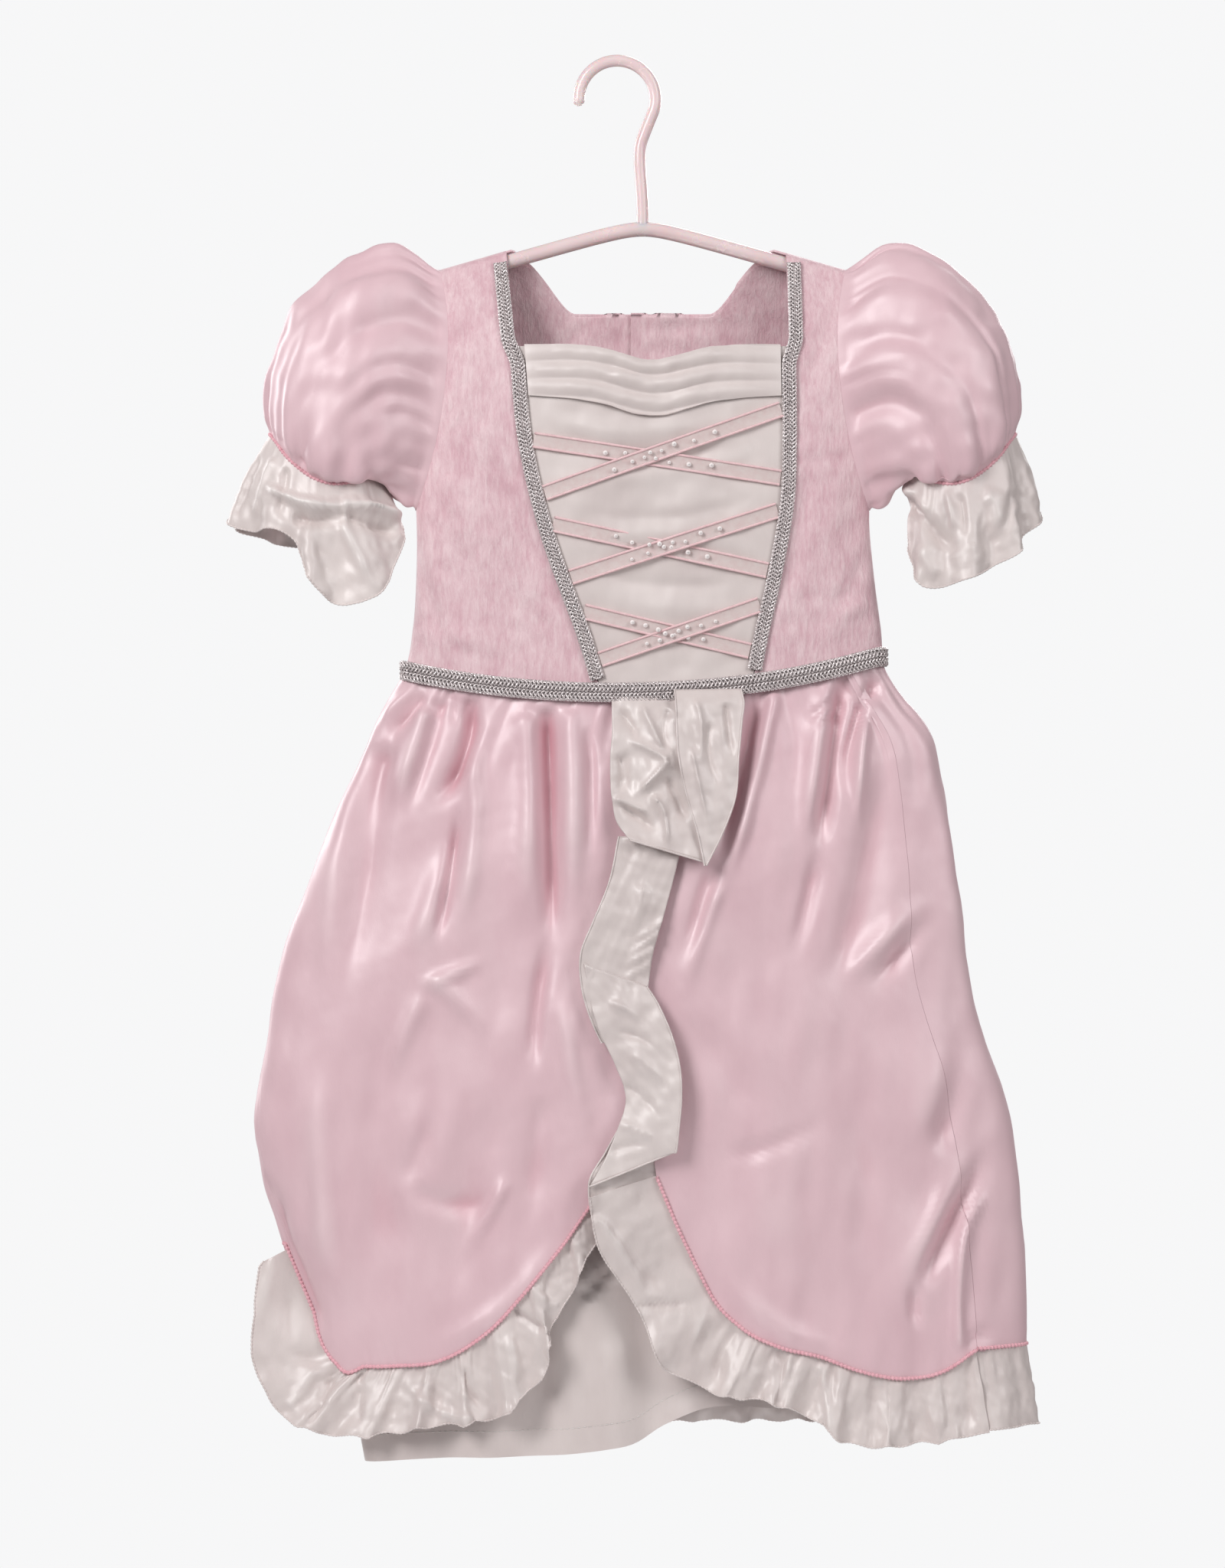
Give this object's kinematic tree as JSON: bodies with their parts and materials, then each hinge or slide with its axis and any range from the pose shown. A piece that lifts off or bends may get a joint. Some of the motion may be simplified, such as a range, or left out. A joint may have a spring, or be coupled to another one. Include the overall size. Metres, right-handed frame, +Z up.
{
  "type": "princess costume dress on a hanger",
  "caption": "Child's princess costume dress with puff sleeves, laced bodice, split ruffled overskirt and underskirt, hanging on a small moulded hanger.",
  "frame": {"origin": "inner top of the hanger's hook, where a rail carries it", "axes": "+Z up, the dress's front faces -Y, its own left sleeve is at +X"},
  "size_m": [0.478, 0.0904, 0.826],
  "materials": {
    "pink_satin": "shiny satin",
    "pink_velvet": "crushed stretch velvet",
    "white_satin": "shiny satin",
    "silver_braid": "metallic braid",
    "organza": "sheer ribbon",
    "hanger_plastic": "moulded, slightly translucent"
  },
  "bodies": {
    "root": {"hanger": "hanger_plastic", "bodice_side_front_left": "pink_velvet", "bodice_side_front_right": "pink_velvet", "bodice_back_left": "pink_velvet", "bodice_back_right": "pink_velvet", "bodice_centre_front": "white_satin", "neck_drape": "white_satin", "princess_braid_left": "silver_braid", "princess_braid_right": "silver_braid", "waist_braid": "silver_braid", "lace_top_rise": "organza", "lace_top_fall": "organza", "lace_mid_rise": "organza", "lace_mid_fall": "organza", "lace_low_rise": "organza", "lace_low_fall": "organza", "overskirt_front_left": "pink_satin", "overskirt_front_right": "pink_satin", "overskirt_back": "pink_satin", "hem_ruffle_front_left": "white_satin", "hem_ruffle_front_right": "white_satin", "hem_ruffle_back": "white_satin", "underskirt_front": "white_satin", "underskirt_back": "white_satin", "front_cascade": "white_satin", "sleeve_left": "pink_satin", "sleeve_right": "pink_satin", "cuff_ruffle_left": "white_satin", "cuff_ruffle_right": "white_satin"}
  },
  "joints": []
}
